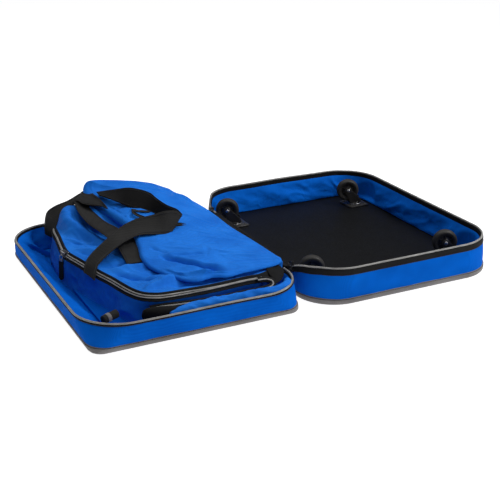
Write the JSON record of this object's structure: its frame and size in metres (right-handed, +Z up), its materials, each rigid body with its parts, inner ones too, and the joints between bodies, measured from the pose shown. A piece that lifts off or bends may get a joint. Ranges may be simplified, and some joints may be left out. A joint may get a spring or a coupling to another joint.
{
  "type": "collapsible wheeled travel bag",
  "caption": "Folding wheeled travel bag opened flat: a zip-edged tray with upturned swivel casters, hinged to a tray of folded bag.",
  "frame": {"origin": "on the floor under the middle of the fabric hinge, midway along the opened bag", "axes": "+X from the tray with the folded bag to the tray with the casters, +Y along the hinge line, +Z up"},
  "size_m": [0.8096, 0.512, 0.1279],
  "materials": {
    "blue_polyester": "woven royal blue polyester, slightly lustrous",
    "blue_lining": "thin wrinkled blue lining cloth",
    "black_webbing": "ribbed matt webbing",
    "black_tape": "matt woven tape",
    "grey_piping": "matt warm grey binding",
    "grey_coil": "fine nylon coil",
    "black_board": "satin",
    "black_caster": "semi-gloss moulded",
    "black_tyre": "satin",
    "plated_steel": "bright plated"
  },
  "bodies": {
    "bag_tray": {"bag_corner_gusset": "black_tape", "bag_flap": "blue_polyester", "bag_side_pocket": "black_tape", "bag_stiffener": "black_board", "bag_top_panel": "blue_polyester", "bag_tray_floor": "blue_polyester", "bag_tray_lining": "blue_lining", "bag_tray_piping": "grey_piping", "bag_tray_rim_tape": "black_tape", "bag_tray_wall": "blue_polyester", "bag_tray_zip_coil": "grey_coil", "bag_zip_coil": "grey_coil", "bag_zip_tape": "black_tape", "folded_bag_base": "blue_polyester", "folded_bag_body": "blue_polyester", "handle_front": "black_webbing", "handle_grip_wrap": "black_webbing", "handle_rear": "black_webbing", "hang_loop": "black_webbing", "hinge_strip": "black_tape", "rolled_tie": "black_webbing"},
    "wheel_tray": {"base_board": "black_board", "caster_plate_front_inner": "black_caster", "caster_plate_front_outer": "black_caster", "caster_plate_rear_inner": "black_caster", "caster_plate_rear_outer": "black_caster", "wheel_tray_floor": "blue_polyester", "wheel_tray_lining": "blue_lining", "wheel_tray_piping": "grey_piping", "wheel_tray_rim_tape": "black_tape", "wheel_tray_wall": "blue_polyester", "wheel_tray_zip_coil": "grey_coil"},
    "caster_front_inner": {"caster_axle_front_inner": "plated_steel", "caster_fork_front_inner": "black_caster", "caster_kingpin_front_inner": "plated_steel"},
    "wheel_front_inner": {"tyre_front_inner": "black_tyre", "wheel_hub_front_inner": "black_caster"},
    "caster_front_outer": {"caster_axle_front_outer": "plated_steel", "caster_fork_front_outer": "black_caster", "caster_kingpin_front_outer": "plated_steel"},
    "wheel_front_outer": {"tyre_front_outer": "black_tyre", "wheel_hub_front_outer": "black_caster"},
    "caster_rear_inner": {"caster_axle_rear_inner": "plated_steel", "caster_fork_rear_inner": "black_caster", "caster_kingpin_rear_inner": "plated_steel"},
    "wheel_rear_inner": {"tyre_rear_inner": "black_tyre", "wheel_hub_rear_inner": "black_caster"},
    "caster_rear_outer": {"caster_axle_rear_outer": "plated_steel", "caster_fork_rear_outer": "black_caster", "caster_kingpin_rear_outer": "plated_steel"},
    "wheel_rear_outer": {"tyre_rear_outer": "black_tyre", "wheel_hub_rear_outer": "black_caster"},
    "bag_zip_slider": {"bag_zip_slider": "plated_steel"},
    "bag_zip_pull": {"bag_zip_pull": "black_webbing"},
    "case_zip_slider_front": {"case_zip_slider_front": "plated_steel"},
    "case_zip_pull_front": {"case_zip_pull_front": "black_webbing"},
    "case_zip_slider_rear": {"case_zip_slider_rear": "plated_steel"},
    "case_zip_pull_rear": {"case_zip_pull_rear": "black_webbing"}
  },
  "joints": [
    {"name": "fold", "type": "hinge", "parent": "bag_tray", "child": "wheel_tray", "pos_m": [0, 0, 0.061], "axis": [0, -1, 0], "range_deg": [0, 180], "deforming": ["hinge_strip", "bag_zip_tape", "bag_zip_coil", "bag_top_panel", "bag_flap", "bag_corner_gusset", "handle_front", "handle_rear", "handle_grip_wrap", "hang_loop"]},
    {"name": "swivel_front_inner", "type": "hinge", "parent": "wheel_tray", "child": "caster_front_inner", "pos_m": [0.058, -0.177, 0.0164], "axis": [0, 0, 1], "continuous": true},
    {"name": "wheel_spin_front_inner", "type": "hinge", "parent": "caster_front_inner", "child": "wheel_front_inner", "pos_m": [0.044, -0.171, 0.044], "axis": [0.3939, 0.9191, 0], "continuous": true},
    {"name": "swivel_front_outer", "type": "hinge", "parent": "wheel_tray", "child": "caster_front_outer", "pos_m": [0.352, -0.177, 0.0164], "axis": [0, 0, 1], "continuous": true},
    {"name": "wheel_spin_front_outer", "type": "hinge", "parent": "caster_front_outer", "child": "wheel_front_outer", "pos_m": [0.338, -0.171, 0.044], "axis": [0.3939, 0.9191, 0], "continuous": true},
    {"name": "swivel_rear_inner", "type": "hinge", "parent": "wheel_tray", "child": "caster_rear_inner", "pos_m": [0.058, 0.177, 0.0164], "axis": [0, 0, 1], "continuous": true},
    {"name": "wheel_spin_rear_inner", "type": "hinge", "parent": "caster_rear_inner", "child": "wheel_rear_inner", "pos_m": [0.044, 0.183, 0.044], "axis": [0.3939, 0.9191, 0], "continuous": true},
    {"name": "swivel_rear_outer", "type": "hinge", "parent": "wheel_tray", "child": "caster_rear_outer", "pos_m": [0.352, 0.177, 0.0164], "axis": [0, 0, 1], "continuous": true},
    {"name": "wheel_spin_rear_outer", "type": "hinge", "parent": "caster_rear_outer", "child": "wheel_rear_outer", "pos_m": [0.338, 0.183, 0.044], "axis": [0.3939, 0.9191, 0], "continuous": true},
    {"name": "bag_zip_slide", "type": "slide", "parent": "bag_tray", "child": "bag_zip_slider", "axis": [0, 1, 0], "range_m": [-0.102, 0.068]},
    {"name": "bag_zip_pull_swing", "type": "hinge", "parent": "bag_zip_slider", "child": "bag_zip_pull", "pos_m": [-0.3541, 0.042, 0.0569], "axis": [1, 0, 0], "range_deg": [-60, 60]},
    {"name": "case_zip_travel_front", "type": "hinge", "parent": "wheel_tray", "child": "case_zip_slider_front", "pos_m": [0.091, -0.17, 0.065], "axis": [0, 0, 1], "range_deg": [0, 90]},
    {"name": "case_zip_pull_swing_front", "type": "hinge", "parent": "case_zip_slider_front", "child": "case_zip_pull_front", "pos_m": [0.0029, -0.17, 0.0579], "axis": [1, 0, 0], "range_deg": [-60, 60]},
    {"name": "case_zip_travel_rear", "type": "hinge", "parent": "wheel_tray", "child": "case_zip_slider_rear", "pos_m": [0.091, 0.17, 0.065], "axis": [0, 0, 1], "range_deg": [-90, 0]},
    {"name": "case_zip_pull_swing_rear", "type": "hinge", "parent": "case_zip_slider_rear", "child": "case_zip_pull_rear", "pos_m": [0.0029, 0.17, 0.0579], "axis": [1, 0, 0], "range_deg": [-60, 60]}
  ]
}
